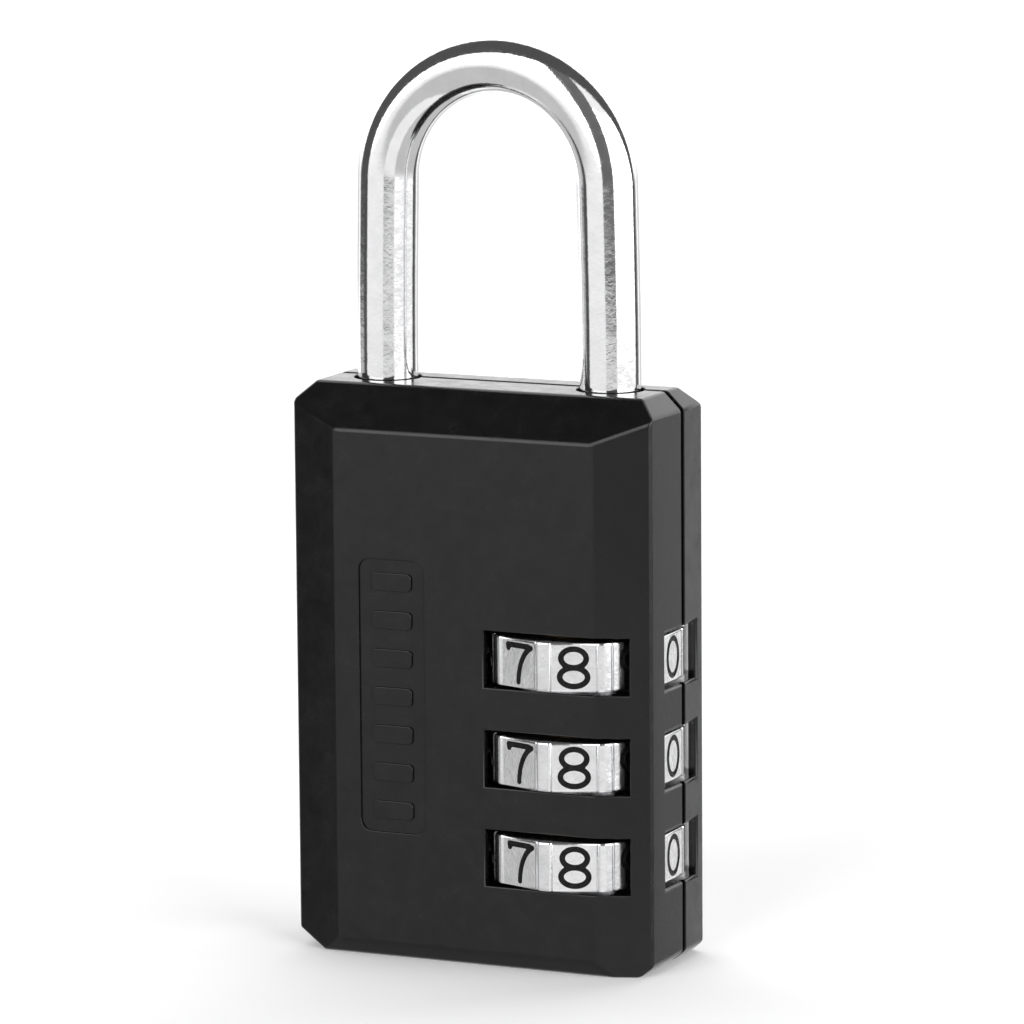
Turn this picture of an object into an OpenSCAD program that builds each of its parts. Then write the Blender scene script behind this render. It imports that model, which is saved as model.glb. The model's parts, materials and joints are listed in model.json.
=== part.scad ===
// Three-dial combination padlock, built as separate pieces in their locked position.
// Two cast case halves hold three number dials on one upright axis beside the shackle's heel leg.
// Inside, a finned spindle runs through clutch sleeves in the dials and hangs from a lift block on
// the heel leg, so the shackle rises by one dial pitch when every sleeve's gate meets its fin.
// Millimetres, +Z up. X runs across the front, Y from front to back.
// The origin is the middle of the bottom face, and the dial axis stands in the plane Y = 0.

/* [Case] */
// Width of the case across its front
body_w = 30.2; // [29.6:0.1:31]
// Height of the case from its bottom face to its top face
body_h = 44.4; // [44.1:0.1:46]
// Thickness of the case between its front and rear flats
body_t = 12.9; // [12.5:0.1:13.4]
// Width of each flat face between the long side bevels
flat_w = 21.5; // [20.5:0.1:22.5]
// Width of the narrow side walls
side_w = 9.8; // [9.2:0.1:10.2]
// Depth from front to back of the top face
top_t = 6.8; // [6.2:0.1:7.4]
// Height of the bevels that lead up to the top face
top_bevel_h = 3.2; // [2.4:0.05:3.6]
// Height of the small chamfer round the bottom edge
foot_bevel_h = 1.1; // [0.5:0.1:1.4]
// Inward step of the small chamfer round the bottom edge
foot_bevel_in = 0.5; // [0.3:0.1:0.9]
// Width of the two upper corner chamfers seen from the front
corner_w = 1.4; // [1:0.1:2]
// Height of the two upper corner chamfers seen from the front
corner_h = 1.4; // [1:0.05:2]
// Width of the lower left corner chamfer seen from the front
foot_left_w = 2.6; // [1:0.1:3]
// Height of the lower left corner chamfer seen from the front
foot_left_h = 1.4; // [0.8:0.1:1.6]
// Width of the lower right corner chamfer seen from the front
foot_right_w = 1.1; // [0.8:0.1:1.6]
// Height of the lower right corner chamfer seen from the front
foot_right_h = 0.9; // [0.6:0.1:1.4]
// Distance of the joint between the two case halves behind the dial axis
parting_y = 0.75; // [0.5:0.05:0.75]

/* [Shackle] */
// Diameter of the shackle rod
rod_d = 4.7; // [4.4:0.05:4.8]
// Distance between the centre lines of the two shackle legs
leg_spacing = 18.8; // [18.6:0.05:19.2]
// Distance of the shackle's plane behind the dial axis
leg_y = 0.4; // [0:0.05:0.7]
// Height of the inside of the bow above the top face
bow_clearance = 22.3; // [16:0.1:40]
// Depth of the toe leg below the top face
toe_depth = 6.5; // [5:0.1:7.2]
// Gap around the legs in the case
leg_gap = 0.3; // [0.15:0.05:0.35]

/* [Dials] */
// Radius over the grip ribs
dial_r = 7.72; // [7.6:0.02:7.76]
// Distance from the dial axis to the number facets
facet_r = 7.44; // [7.2:0.02:7.46]
// Width of each grip rib
rib_w = 1.12; // [0.9:0.02:1.6]
// Height of each dial
dial_h = 3.8; // [3.4:0.1:3.9]
// Distance between the centres of neighbouring dials
dial_pitch = 7.74; // [7.7:0.01:7.8]
// Height of the middle dial's centre above the bottom face
middle_dial_z = 16.36; // [16.2:0.01:16.5]
// Depth of the dial rims below the side wall
side_recess = 0.18; // [0.1:0.02:0.24]
// Chamfer on the dial rims
rim_bevel = 0.25; // [0.1:0.05:0.4]

/* [Dial windows] */
// Height of the windows
window_h = 4.4; // [4.35:0.05:4.6]
// Gap between a dial's ribs and the curved back of its slot
slot_gap = 0.3; // [0.2:0.05:0.4]
// Distance of a window's edge from the dial axis on the side away from the wall
window_left = 5.5; // [5.1:0.1:5.6]
// Distance of a window's edge from the dial axis on the side near the wall
window_right = 6.2; // [5.9:0.1:6.4]
// Width of the opening in the side wall
side_window_w = 6.0; // [5.4:0.1:6.2]
// Distance of that opening's middle behind the dial axis
side_window_y = 0.6; // [0:0.1:0.8]

/* [Front panel] */
// Distance of the panel's left edge from the middle of the case
panel_left = 8.85; // [8:0.05:9.2]
// Width of the panel
panel_w = 5.5; // [4:0.1:5.7]
// Height of the panel
panel_h = 21.3; // [16:0.1:22]
// Height of the panel's lower edge above the bottom face
panel_z = 9.95; // [8:0.05:12]
// Depth of the sunk panel
panel_depth = 0.2; // [0.1:0.05:0.3]
// Number of raised bars in the panel
bar_count = 7; // [3:1:8]

/* [Clutch sleeves] */
// Radius of the sleeve journals that run in the case
journal_r = 4.2; // [4.1:0.05:4.25]
// Running gap around the journals
journal_gap = 0.06; // [0.04:0.01:0.09]
// Radius over the sleeve splines
spline_r = 4.75; // [4.6:0.05:4.8]
// Width of each sleeve spline
spline_w = 1.1; // [0.8:0.1:1.3]
// Radius of the bore through each sleeve
sleeve_bore_r = 2.3; // [2.1:0.05:2.4]
// Height of each sleeve
sleeve_h = 4.8; // [4.7:0.05:4.9]

/* [Spindle and lift block] */
// Radius of the spindle rod
spindle_r = 1.75; // [1.6:0.05:1.9]
// Reach of the fins from the dial axis
fin_reach = 3.3; // [3.1:0.05:3.35]
// Thickness of the fins across their reach
fin_w = 1.4; // [1:0.1:1.6]
// Height of each fin
fin_h = 2.0; // [1.6:0.1:2.2]
// Radius of the fixed pin that the spindle slides on
guide_pin_r = 0.85; // [0.7:0.05:0.95]
// Radius of the cross pin that holds the heel leg
cross_pin_r = 0.8; // [0.6:0.05:0.85]

/* [Springs] */
// Mean radius of the lift spring's coils
coil_r = 1.3; // [1.2:0.05:1.35]
// Diameter of the lift spring's wire
coil_wire_d = 0.5; // [0.3:0.05:0.55]
// Number of turns in the lift spring
coil_turns = 11; // [7:1:13]
// Thickness of the detent spring's strip
strip_t = 0.2; // [0.15:0.05:0.25]

/* [Hidden] */
$fn = 96;
eps = 0.05;
long = 60;

half_w = body_w / 2;
half_t = body_t / 2;
rod_r = rod_d / 2;
leg_x = leg_spacing / 2;
leg_hole_r = rod_r + leg_gap;
bow_r = leg_x;
bow_z = body_h + bow_clearance - (bow_r - rod_r);

// Dials and their slots.
dial_x = half_w - side_recess - dial_r;
dial_zs = [middle_dial_z - dial_pitch, middle_dial_z, middle_dial_z + dial_pitch];
rib_count = 10;
rib_step = 360 / rib_count;
rib_start = rib_step / 2;
slot_r = dial_r + slot_gap;
spline_gap = 0.08;
spline_h = dial_h - 0.4;
journal_pocket_h = sleeve_h + 0.1;
washer_t = 0.2;
washer_in_r = journal_r + 0.45;
washer_out_r = journal_r + 1.9;

// Spindle, fins and lift block: the fins stand in the webs below the dials.
travel = dial_pitch;
fin_bore_r = fin_reach + 0.3;
gate_w = fin_w + 0.4;
fin_zs = [for (z = dial_zs) z - dial_pitch / 2];
chamber_top_z = fin_zs[2] + fin_h / 2 + travel + 0.3;
spindle_foot_z = fin_zs[0] - fin_h / 2 - 0.15;
spindle_head_z = 29.4;
chamber_foot_z = spindle_foot_z - 0.25;
guide_pin_foot_z = 1.2;
guide_pin_top_z = 13;
guide_bore_top_z = 13.5;
block_foot_z = 27.8;
block_top_z = 33.4;
block_front = 3.2;
block_back = 4.2;
block_left = dial_x - 2.6;
block_right = leg_x + 3.55;
block_gap = 0.15;
block_room_top = block_top_z + travel + 0.26;
arm_foot_z = 30.9;
arm_half_w = 1.6;
leg_foot_z = 30.05;
leg_socket_z = 30;
groove_z = 31.7;
groove_gap = 0.05;
groove_root_r = 1.35;
cross_pin_x = leg_x - groove_root_r - groove_gap - cross_pin_r;

// Lift spring beside the dials.
spring_x = dial_x - 11.9;
spring_foot_z = 14.2;
spring_well_r = 1.98;
arm_left = spring_x - 1.5;
spring_washer_t = 0.3;
spring_top_z = arm_foot_z - spring_washer_t;
spring_pin_r = 0.7;
spring_pin_foot_z = 12.2;
spring_pin_top_z = 28.6;
coil_steps = 20;
wire_sides = 8;

// Detent spring to the left of the dials.
detent_x = dial_x - 9.45;
detent_half_w = 2.0;
finger_half_w = 1.2;
finger_tip_x = dial_x - dial_r - 0.1;
detent_foot_z = 3.6;
detent_top_z = 26.6;
detent_room_left = detent_x - 0.1;
detent_gap = 0.15;
rivet_r = 0.4;
rivet_y = -0.8;
rivet_zs = [4.7, 12.3];

// Pins that join the two case halves.
case_pin_r = 0.9;
case_pin_y0 = -4.4;
case_pin_y1 = 4.9;
case_pin_spots = [[-half_w + 3.1, 4.6], [-half_w + 3.1, 31.4], [dial_x - 6, 28.8], [half_w - 2.6, 2.7]];

// ---- case ----

// Eight-sided plan of the case: front and rear flats, side walls and long bevels.
module case_plan() {
    fx = flat_w / 2;
    sy = side_w / 2;
    polygon([[-fx, -half_t], [fx, -half_t], [half_w, -sy], [half_w, sy],
             [fx, half_t], [-fx, half_t], [-half_w, sy], [-half_w, -sy]]);
}

// Side view of the case, with x as depth and y as height.
module case_side() {
    ty = top_t / 2;
    by = half_t - foot_bevel_in;
    polygon([[-by, 0], [-half_t, foot_bevel_h], [-half_t, body_h - top_bevel_h], [-ty, body_h],
             [ty, body_h], [half_t, body_h - top_bevel_h], [half_t, foot_bevel_h], [by, 0]]);
}

// Front view of the case with its corner chamfers.
module case_front() {
    cx = half_w - corner_w;
    polygon([[foot_left_w - half_w, 0], [half_w - foot_right_w, 0], [half_w, foot_right_h],
             [half_w, body_h - corner_h], [cx, body_h], [-cx, body_h],
             [-half_w, body_h - corner_h], [-half_w, foot_left_h]]);
}

module case_block() {
    intersection() {
        linear_extrude(height = body_h)
            case_plan();
        translate([-half_w - 1, 0, 0])
            rotate([90, 0, 90])
                linear_extrude(height = body_w + 2)
                    case_side();
        translate([0, half_t + 1, 0])
            rotate([90, 0, 0])
                linear_extrude(height = body_t + 2)
                    case_front();
    }
}

// A box given by its two corners.
module span(low, high) {
    translate(low)
        cube(high - low);
}

// Slot for one dial, with its front, rear and side windows and the sleeve journals' pockets.
module dial_slot(z) {
    low = z - window_h / 2;
    high = z + window_h / 2;
    inner_y = 4.4;
    translate([dial_x, 0, low])
        cylinder(r = slot_r, h = window_h);
    translate([dial_x, 0, z - journal_pocket_h / 2])
        cylinder(r = journal_r + journal_gap, h = journal_pocket_h);
    span([dial_x - window_left, -half_t - 1, low], [dial_x + window_right, -inner_y, high]);
    span([dial_x - window_left, inner_y, low], [dial_x + window_right, half_t + 1, high]);
    span([dial_x + 6, side_window_y - side_window_w / 2, low],
         [half_w + 1, side_window_y + side_window_w / 2, high]);
}

// Room for the spindle, the lift block and its arm through their whole travel.
module lift_rooms() {
    translate([dial_x, 0, chamber_foot_z])
        cylinder(r = fin_bore_r, h = chamber_top_z - chamber_foot_z);
    span([block_left - block_gap, -block_front - block_gap, block_foot_z - 0.3],
         [block_right + block_gap, block_back + block_gap, block_room_top]);
    span([arm_left - block_gap, -arm_half_w - block_gap, arm_foot_z - 0.3],
         [block_left + 1, arm_half_w + block_gap, block_room_top]);
    translate([spring_x, 0, spring_foot_z])
        cylinder(r = spring_well_r, h = arm_foot_z - spring_foot_z);
}

module leg_holes() {
    translate([leg_x, leg_y, block_room_top - 1])
        cylinder(r = leg_hole_r, h = body_h + 2 - block_room_top);
    translate([-leg_x, leg_y, body_h - toe_depth - 1.3])
        cylinder(r = leg_hole_r, h = toe_depth + 2.3);
}

module detent_room() {
    span([detent_room_left, -detent_half_w - detent_gap, detent_foot_z - detent_gap],
         [dial_x - slot_r + 0.5, detent_half_w + detent_gap, detent_top_z + detent_gap]);
}

module case_pins() {
    color([0.62, 0.62, 0.64])
        for (spot = case_pin_spots)
            translate([spot[0], case_pin_y1, spot[1]])
                rotate([90, 0, 0])
                    cylinder(r = case_pin_r, h = case_pin_y1 - case_pin_y0, $fn = 48);
}

// Everything taken out of the case block before it is parted.
module case_rooms() {
    for (z = dial_zs)
        dial_slot(z);
    lift_rooms();
    leg_holes();
    detent_room();
    case_pins();
    detent_rivet_shanks();
    translate([dial_x, 0, guide_pin_foot_z])
        cylinder(r = guide_pin_r, h = chamber_foot_z + eps - guide_pin_foot_z, $fn = 48);
    translate([spring_x, 0, spring_pin_foot_z])
        cylinder(r = spring_pin_r, h = spring_foot_z + eps - spring_pin_foot_z, $fn = 48);
}

// Outline of the front panel with round corners.
module panel_outline() {
    r = 0.9;
    union() {
        translate([r, 0])
            square([panel_w - 2 * r, panel_h]);
        translate([0, r])
            square([panel_w, panel_h - 2 * r]);
        for (x = [r, panel_w - r], y = [r, panel_h - r])
            translate([x, y])
                circle(r = r, $fn = 40);
    }
}

// One plain bar with round corners.
module panel_bar(w, h) {
    r = 0.4;
    union() {
        translate([r, 0])
            square([w - 2 * r, h]);
        translate([0, r])
            square([w, h - 2 * r]);
        for (x = [r, w - r], y = [r, h - r])
            translate([x, y])
                circle(r = r, $fn = 32);
    }
}

// The sunk panel, with a column of plain bars left standing in it.
module front_panel() {
    side = 1.05;
    foot = 1.0;
    bar_h = 1.45;
    bar_pitch = (panel_h - 2 * foot - bar_h) / (bar_count - 1);
    translate([-panel_left, -half_t + panel_depth, panel_z])
        rotate([90, 0, 0])
            linear_extrude(height = panel_depth + 1)
                difference() {
                    panel_outline();
                    for (i = [0:bar_count - 1])
                        translate([side, foot + bar_pitch * i])
                            panel_bar(panel_w - 2 * side, bar_h);
                }
}

module front_shell() {
    color([0.07, 0.07, 0.075])
        difference() {
            case_block();
            span([-half_w - 1, parting_y, -1], [half_w + 1, half_t + 1, body_h + 1]);
            case_rooms();
            front_panel();
        }
}

module rear_shell() {
    color([0.07, 0.07, 0.075])
        difference() {
            case_block();
            span([-half_w - 1, -half_t - 1, -1], [half_w + 1, parting_y, body_h + 1]);
            case_rooms();
        }
}

// ---- shackle and lift parts ----

module shackle() {
    toe_z = body_h - toe_depth;
    tip = 0.6;
    groove_h = 2 * (cross_pin_r + groove_gap);
    color([0.82, 0.82, 0.84])
        union() {
            translate([0, leg_y, bow_z])
                rotate([90, 0, 0])
                    rotate_extrude(angle = 180)
                        translate([bow_r, 0])
                            circle(r = rod_r, $fn = 64);
            difference() {
                translate([leg_x, leg_y, leg_foot_z])
                    cylinder(r = rod_r, h = bow_z - leg_foot_z);
                translate([leg_x, leg_y, groove_z - groove_h / 2])
                    difference() {
                        cylinder(r = rod_r + 1, h = groove_h);
                        translate([0, 0, -1])
                            cylinder(r = groove_root_r, h = groove_h + 2);
                    }
            }
            translate([-leg_x, leg_y, toe_z + tip])
                cylinder(r = rod_r, h = bow_z - toe_z - tip);
            translate([-leg_x, leg_y, toe_z])
                cylinder(r1 = rod_r - tip, r2 = rod_r, h = tip);
        }
}

module lift_block() {
    color([0.55, 0.55, 0.53])
        difference() {
            union() {
                span([block_left, -block_front, block_foot_z],
                     [block_right, block_back, block_top_z]);
                span([arm_left, -arm_half_w, arm_foot_z],
                     [block_left + 1, arm_half_w, block_top_z]);
            }
            translate([leg_x, leg_y, leg_socket_z])
                cylinder(r = rod_r + 0.05, h = block_top_z);
            translate([dial_x, 0, block_foot_z - 1])
                cylinder(r = spindle_r, h = spindle_head_z - block_foot_z + 1);
            translate([cross_pin_x, block_back + 1, groove_z])
                rotate([90, 0, 0])
                    cylinder(r = cross_pin_r, h = block_front + block_back + 2, $fn = 48);
        }
}

module heel_pin() {
    color([0.6, 0.6, 0.62])
        translate([cross_pin_x, block_back, groove_z])
            rotate([90, 0, 0])
                cylinder(r = cross_pin_r, h = block_front + block_back, $fn = 48);
}

module spindle() {
    color([0.78, 0.64, 0.33])
        difference() {
            union() {
                translate([dial_x, 0, spindle_foot_z])
                    cylinder(r = spindle_r, h = spindle_head_z - spindle_foot_z);
                for (z = fin_zs)
                    span([dial_x - fin_reach, -fin_w / 2, z - fin_h / 2],
                         [dial_x, fin_w / 2, z + fin_h / 2]);
            }
            translate([dial_x, 0, spindle_foot_z - 1])
                cylinder(r = guide_pin_r + 0.05, h = guide_bore_top_z - spindle_foot_z + 1);
        }
}

module spindle_guide_pin() {
    color([0.6, 0.6, 0.62])
        translate([dial_x, 0, guide_pin_foot_z])
            cylinder(r = guide_pin_r, h = guide_pin_top_z - guide_pin_foot_z, $fn = 48);
}

// ---- dials ----

// Keys shared by a dial's notches and its sleeve's splines.
module keys(r, w) {
    for (i = [0:rib_count - 1])
        rotate(i * rib_step)
            translate([0, -w / 2])
                square([r, w]);
}

// Outline of a dial: ten flat number facets with a grip rib at each corner.
module dial_outline() {
    corner_r = facet_r / cos(rib_step / 2);
    union() {
        rotate(rib_start)
            circle(r = corner_r, $fn = rib_count);
        for (i = [0:rib_count - 1])
            rotate(rib_start + i * rib_step)
                translate([facet_r - 1, -rib_w / 2])
                    square([dial_r - facet_r + 1, rib_w]);
    }
}

module dial(z) {
    color([0.8, 0.8, 0.82])
        translate([dial_x, 0, z - dial_h / 2])
            difference() {
                intersection() {
                    linear_extrude(height = dial_h)
                        dial_outline();
                    rotate_extrude()
                        polygon([[0, 0], [dial_r - rim_bevel, 0], [dial_r, rim_bevel],
                                 [dial_r, dial_h - rim_bevel], [dial_r - rim_bevel, dial_h],
                                 [0, dial_h]]);
                }
                translate([0, 0, -1])
                    cylinder(r = journal_r + spline_gap, h = dial_h + 2);
                translate([0, 0, -1])
                    linear_extrude(height = dial_h + 2)
                        keys(spline_r + spline_gap, spline_w + 2 * spline_gap);
            }
}

module dial_bottom() {
    dial(dial_zs[0]);
}

module dial_middle() {
    dial(dial_zs[1]);
}

module dial_top() {
    dial(dial_zs[2]);
}

// Clutch sleeve: splined into its dial, with journals at both ends and a gate for the fin.
module sleeve(z) {
    color([0.76, 0.62, 0.32])
        translate([dial_x, 0, z])
            difference() {
                union() {
                    translate([0, 0, -sleeve_h / 2])
                        cylinder(r = journal_r, h = sleeve_h);
                    translate([0, 0, -spline_h / 2])
                        linear_extrude(height = spline_h)
                            keys(spline_r, spline_w);
                }
                translate([0, 0, -sleeve_h / 2 - 1])
                    cylinder(r = sleeve_bore_r, h = sleeve_h + 2);
                span([-fin_bore_r, -gate_w / 2, -sleeve_h / 2 - 1],
                     [0, gate_w / 2, sleeve_h / 2 + 1]);
            }
}

module sleeve_bottom() {
    sleeve(dial_zs[0]);
}

module sleeve_middle() {
    sleeve(dial_zs[1]);
}

module sleeve_top() {
    sleeve(dial_zs[2]);
}

// Thin washers under the dials, on the floors of their slots.
module dial_washers() {
    color([0.7, 0.7, 0.72])
        for (z = dial_zs)
            translate([dial_x, 0, z - window_h / 2])
                difference() {
                    cylinder(r = washer_out_r, h = washer_t);
                    translate([0, 0, -1])
                        cylinder(r = washer_in_r, h = washer_t + 2);
                }
}

// ---- springs ----

// Strip with one bent finger for each dial.
module detent_spring() {
    finger_rise = 2.6;
    finger_end = 1.1;
    back = 0.5;
    color([0.7, 0.7, 0.72])
        union() {
            difference() {
                span([detent_x, -detent_half_w, detent_foot_z],
                     [detent_x + strip_t, detent_half_w, detent_top_z]);
                for (z = rivet_zs)
                    translate([detent_x - 1, rivet_y, z])
                        rotate([0, 90, 0])
                            cylinder(r = rivet_r + 0.03, h = 2, $fn = 32);
            }
            for (z = dial_zs)
                translate([0, finger_half_w, z])
                    rotate([90, 0, 0])
                        linear_extrude(height = 2 * finger_half_w)
                            polygon([[detent_x + strip_t, -finger_rise - 0.3],
                                     [finger_tip_x, -0.2],
                                     [finger_tip_x, 0.2],
                                     [finger_tip_x - back, finger_end],
                                     [finger_tip_x - back - strip_t, finger_end],
                                     [finger_tip_x - strip_t, 0],
                                     [detent_x + strip_t, -finger_rise + 0.1]]);
        }
}

// Shanks of the rivets that hold the strip to the front half of the case.
module detent_rivet_shanks() {
    for (z = rivet_zs)
        translate([detent_x - 1.2, rivet_y, z])
            rotate([0, 90, 0])
                cylinder(r = rivet_r, h = 1.2, $fn = 32);
}

module detent_rivets() {
    color([0.6, 0.6, 0.62])
        union() {
            detent_rivet_shanks();
            for (z = rivet_zs)
                translate([detent_x, rivet_y, z])
                    rotate([0, 90, 0]) {
                        cylinder(r = rivet_r, h = strip_t + 0.1, $fn = 32);
                        translate([0, 0, strip_t])
                            cylinder(r = 0.7, h = 0.25, $fn = 32);
                    }
        }
}

// Round wire wound up from the spring's foot to its top.
function coil_ring(a, z) = [
    for (k = [0:wire_sides - 1])
        let (b = 360 * k / wire_sides, w = coil_wire_d / 2)
            [(coil_r + w * cos(b)) * cos(a), (coil_r + w * cos(b)) * sin(a), z + w * sin(b)]
];

module lift_spring() {
    n = coil_turns * coil_steps;
    z0 = spring_foot_z + coil_wire_d / 2;
    z1 = spring_top_z - coil_wire_d / 2;
    rings = [for (i = [0:n]) coil_ring(360 * i / coil_steps, z0 + (z1 - z0) * i / n)];
    points = [for (ring = rings) for (p = ring) p];
    walls = [
        for (i = [0:n - 1], k = [0:wire_sides - 1])
            let (j = (k + 1) % wire_sides, m = i * wire_sides)
                [m + k, m + wire_sides + k, m + wire_sides + j, m + j]
    ];
    foot = [for (k = [0:wire_sides - 1]) k];
    head = [for (k = [0:wire_sides - 1]) n * wire_sides + wire_sides - 1 - k];
    color([0.7, 0.7, 0.72])
        translate([spring_x, 0, 0])
            polyhedron(points = points, faces = concat(walls, [foot, head]));
}

module spring_washer() {
    color([0.7, 0.7, 0.72])
        translate([spring_x, 0, spring_top_z])
            difference() {
                cylinder(r = coil_r + coil_wire_d / 2, h = spring_washer_t, $fn = 64);
                translate([0, 0, -1])
                    cylinder(r = spring_pin_r + 0.1, h = spring_washer_t + 2, $fn = 48);
            }
}

module spring_guide_pin() {
    color([0.6, 0.6, 0.62])
        translate([spring_x, 0, spring_pin_foot_z])
            cylinder(r = spring_pin_r, h = spring_pin_top_z - spring_pin_foot_z, $fn = 48);
}

// ---- placing ----

front_shell();
rear_shell();
case_pins();
shackle();
lift_block();
heel_pin();
spindle();
spindle_guide_pin();
dial_top();
dial_middle();
dial_bottom();
sleeve_top();
sleeve_middle();
sleeve_bottom();
dial_washers();
detent_spring();
detent_rivets();
lift_spring();
spring_washer();
spring_guide_pin();
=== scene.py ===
"""Looks for a three-dial combination padlock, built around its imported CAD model.

The CAD model gives every place and size. This script rebuilds the pieces that show (the two case
halves, the shackle, the dials and their numbers) with rounded edges and fine relief, gives every
other piece its material, and sets up the floor, the light and the camera.
Shapes are worked out in millimetres and turned into metres when their mesh is made.
"""

import json
import math

import bmesh
import bpy
import numpy as np
from mathutils import Matrix, Vector


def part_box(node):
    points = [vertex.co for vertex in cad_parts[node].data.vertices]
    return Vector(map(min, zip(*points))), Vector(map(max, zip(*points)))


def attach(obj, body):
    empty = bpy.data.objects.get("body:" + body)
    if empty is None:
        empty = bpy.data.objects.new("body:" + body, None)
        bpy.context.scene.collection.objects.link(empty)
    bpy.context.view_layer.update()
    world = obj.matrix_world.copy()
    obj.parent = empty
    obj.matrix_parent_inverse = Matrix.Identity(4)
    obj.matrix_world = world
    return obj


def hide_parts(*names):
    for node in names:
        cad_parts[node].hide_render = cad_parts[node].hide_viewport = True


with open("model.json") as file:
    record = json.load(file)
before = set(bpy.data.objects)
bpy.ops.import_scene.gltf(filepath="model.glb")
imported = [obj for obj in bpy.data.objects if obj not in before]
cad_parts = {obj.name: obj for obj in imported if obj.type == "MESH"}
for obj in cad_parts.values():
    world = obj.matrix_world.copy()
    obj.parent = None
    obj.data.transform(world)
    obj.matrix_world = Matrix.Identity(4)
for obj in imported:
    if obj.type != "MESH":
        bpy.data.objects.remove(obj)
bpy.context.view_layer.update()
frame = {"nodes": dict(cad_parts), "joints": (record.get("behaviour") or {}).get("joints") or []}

MM = 0.001
joints = {j["name"]: j for j in frame["joints"]}


def box_mm(node):
    """Lowest and highest corner of a CAD node, in millimetres."""
    low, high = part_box(node)
    return low / MM, high / MM


# ---- sizes, in millimetres ----

front_high = box_mm("front_shell")[1]
rear_high = box_mm("rear_shell")[1]
shackle_low, shackle_high = box_mm("shackle")

# The case: half its width and thickness, its flats, bevels and corners.
HALF_W = front_high.x
HALF_T = rear_high.y
BODY_H = front_high.z
PARTING_Y = front_high.y
FLAT_HALF = 10.75
SIDE_HALF = 4.9
TOP_HALF = 3.4
TOP_BEVEL_H = 3.2
FOOT_BEVEL_H = 1.1
FOOT_BEVEL_IN = 0.5
CORNER_W = 1.4
CORNER_H = 1.4
FOOT_LEFT = (2.6, 1.4)
FOOT_RIGHT = (1.1, 0.9)
DRAFT = math.radians(0.9)

# The groove round the parting line, and how much each kind of edge is rounded.
SEAM_W = 0.55
SEAM_DEPTH = 0.4
BEVEL_W = 0.5
BEVEL_STEPS = 3
PANEL_EDGE = 0.16
PARTING_EDGE = 0.26
SEAM_EDGE = 0.14
LEG_HOLE_EDGE = 0.18
WINDOW_EDGE = 0.24
CORNER_EDGE = 0.4
CASE_EDGE = 0.52
EDGE_ANGLE = math.radians(12)
NEAR = 0.02

# The shackle: its rod, legs and bow, and the groove in its heel for the heel pin.
ROD_R = (shackle_high.y - shackle_low.y) / 2
ROD_Y = (shackle_high.y + shackle_low.y) / 2
LEG_X = shackle_high.x - ROD_R
BOW_Z = shackle_high.z - ROD_R - LEG_X
TOE_Z = BODY_H - 6.5
HEEL_Z = shackle_low.z
LEG_HOLE_R = ROD_R + 0.3
BOW_NARROWING = 0.2
HEEL_CHAMFER = 0.3
GROOVE_LOW = 30.85
GROOVE_HIGH = 32.55
GROOVE_R = 1.35
GROOVE_EDGE = 0.12
TOE_ROUND = 0.7
LEG_STEP = 0.6
RISE_STEPS = 30
BOW_STEPS = 96

# The dials: ten facets with a rib between each two, and a notched bore.
DIAL_JOINTS = {
    "dial_top": "dial_top_turn", "dial_middle": "dial_middle_turn", "dial_bottom": "dial_bottom_turn",
}
DIAL_POS = {n: Vector(joints[j]["pos_m"]) / MM for n, j in DIAL_JOINTS.items()}
DIAL_X = DIAL_POS["dial_top"].x
DIAL_ZS = [p.z for p in DIAL_POS.values()]
dial_low, dial_high = box_mm("dial_top")
DIAL_H = dial_high.z - dial_low.z
DIAL_R = dial_high.y
FACET_R = 7.44
RIB_W = 1.12
FACET_COUNT = 10
SECTOR = math.tau / FACET_COUNT
BORE_R = 4.28
NOTCH_R = 4.83
NOTCH_W = 1.26

# The dials' slots in the case, and the windows that open them to the faces and the side.
WINDOW_H = 4.4
WINDOW_LEFT = DIAL_X - 5.5
WINDOW_RIGHT = DIAL_X + 6.2
SIDE_WINDOW_HALF = 3.0
SIDE_WINDOW_Y = 0.6
SIDE_WINDOW_START = DIAL_X + 6
SLOT_R = DIAL_R + 0.3
WINDOW_INNER_Y = 4.4
JOURNAL_R = 4.26
JOURNAL_H = 4.9
PAST = 1

# The rooms of the hidden pieces: clearances round them, and the sizes of their bores.
ROOM_GAP = 0.15
FIN_ROOM_R = 3.6
FIN_ROOM_TOP = 29.27
FIN_ROOM_FOOT = 0.25
ARM_FOOT = 30.6
ARM_HALF = 1.75
BLOCK_LEFT = DIAL_X - 2.75
BLOCK_FOOT_GAP = 0.3
BLOCK_TOP_GAP = 0.26
SPRING_ROOM_R = 1.98
TOE_ROOM = 1.3
GUIDE_PIN_R = 0.86
GUIDE_PIN_DEPTH = 2.5
SPRING_PIN_R = 0.71
SPRING_PIN_DEPTH = 2.2

# The sunk panel on the front, and the plain bars that stand in it.
PANEL_LEFT = -8.85
PANEL_W = 5.5
PANEL_H = 21.3
PANEL_Z = 9.95
PANEL_DEPTH = 0.2
PANEL_CORNER = 0.9
BAR_COUNT = 7
BAR_SIDE = 1.05
BAR_FOOT = 1.0
BAR_H = 1.45
BAR_CORNER = 0.4

# The camera's viewing angle, in degrees, and its distance and aim, in millimetres.
VIEW_AZ = 24.65
VIEW_EL = 9.47
VIEW_ROLL = 0.45
VIEW_DISTANCE = 509.1
VIEW_AIM = Vector((0.95, 0.6, 34.34))
VIEW_LENS = 232.4


# ---- mesh helpers ----


def make_object(name, bm):
    """An object from a bmesh in millimetres."""
    bmesh.ops.recalc_face_normals(bm, faces=bm.faces[:])
    mesh = bpy.data.meshes.new(name)
    bm.to_mesh(mesh)
    bm.free()
    return link_mesh(name, mesh)


def link_mesh(name, mesh):
    ob = bpy.data.objects.new(name, mesh)
    bpy.context.scene.collection.objects.link(ob)
    return ob


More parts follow.
